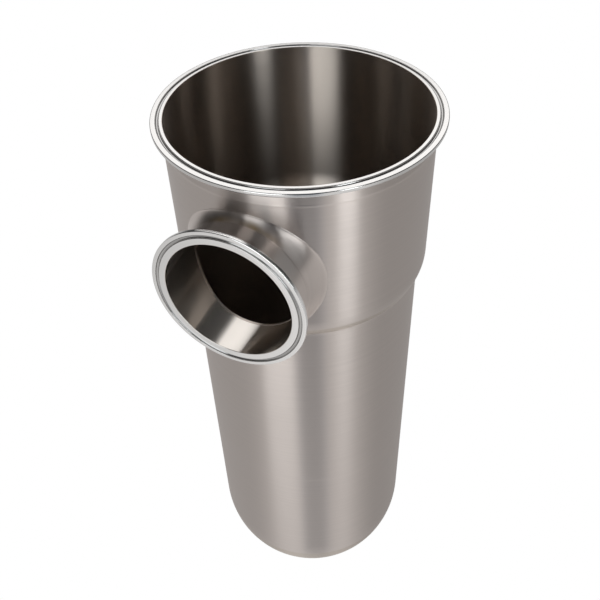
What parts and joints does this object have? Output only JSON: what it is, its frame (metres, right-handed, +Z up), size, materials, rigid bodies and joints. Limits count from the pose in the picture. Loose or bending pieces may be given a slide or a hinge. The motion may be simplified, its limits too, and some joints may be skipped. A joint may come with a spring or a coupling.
{
  "type": "basket strainer housing",
  "caption": "Hygienic stainless basket strainer: open clamp mouth, side inlet, stepped body with domed bottom, rear outlet, and a lift-out basket with a swinging bail.",
  "frame": {"origin": "centre of the mouth's sealing face", "axes": "+Z up along the body and out of the mouth, -Y out of the inlet port, +Y out of the outlet port"},
  "size_m": [0.2174, 0.2549, 0.555],
  "materials": {
    "turned_ferrule": "fine turned, bright",
    "brushed_shell": "satin, brushed around the body",
    "brushed_tube": "satin, brushed around the tube",
    "ground_weld": "ground and polished weld bead",
    "basket_steel": "satin",
    "perforated_sheet": "satin perforated sheet",
    "woven_mesh": "fine woven wire",
    "polished_wire": "polished wire",
    "gasket_rubber": "matt moulded rubber"
  },
  "bodies": {
    "housing": {"top_ferrule": "turned_ferrule", "top_ferrule_weld": "ground_weld", "upper_shell": "brushed_shell", "upper_seam_weld": "ground_weld", "inlet_ferrule": "turned_ferrule", "inlet_ferrule_weld": "ground_weld", "inlet_neck": "brushed_tube", "inlet_branch_weld": "ground_weld", "shoulder_weld": "ground_weld", "lower_shell": "brushed_shell", "lower_seam_weld": "ground_weld", "girth_weld": "ground_weld", "bottom_cup": "brushed_shell", "outlet_ferrule": "turned_ferrule", "outlet_ferrule_weld": "ground_weld", "outlet_neck": "brushed_tube", "outlet_branch_weld": "ground_weld", "seat_ring": "basket_steel", "seat_ring_weld": "ground_weld", "seat_gasket": "gasket_rubber"},
    "basket": {"basket_rim": "basket_steel", "basket_sleeve": "perforated_sheet", "basket_liner": "woven_mesh", "basket_floor": "perforated_sheet", "basket_hoop_upper": "basket_steel", "basket_hoop_middle": "basket_steel", "basket_hoop_lower": "basket_steel", "bail_lug_left": "polished_wire", "bail_lug_right": "polished_wire"},
    "bail": {"bail_handle": "polished_wire", "bail_washer_left": "polished_wire", "bail_washer_right": "polished_wire"}
  },
  "joints": [
    {"name": "basket_lift", "type": "slide", "parent": "housing", "child": "basket", "axis": [0, 0, 1], "range_m": [0, 0.53]},
    {"name": "bail_swing", "type": "hinge", "parent": "basket", "child": "bail", "pos_m": [0, 0, -0.3265], "axis": [1, 0, 0], "range_deg": [0, 180]}
  ]
}
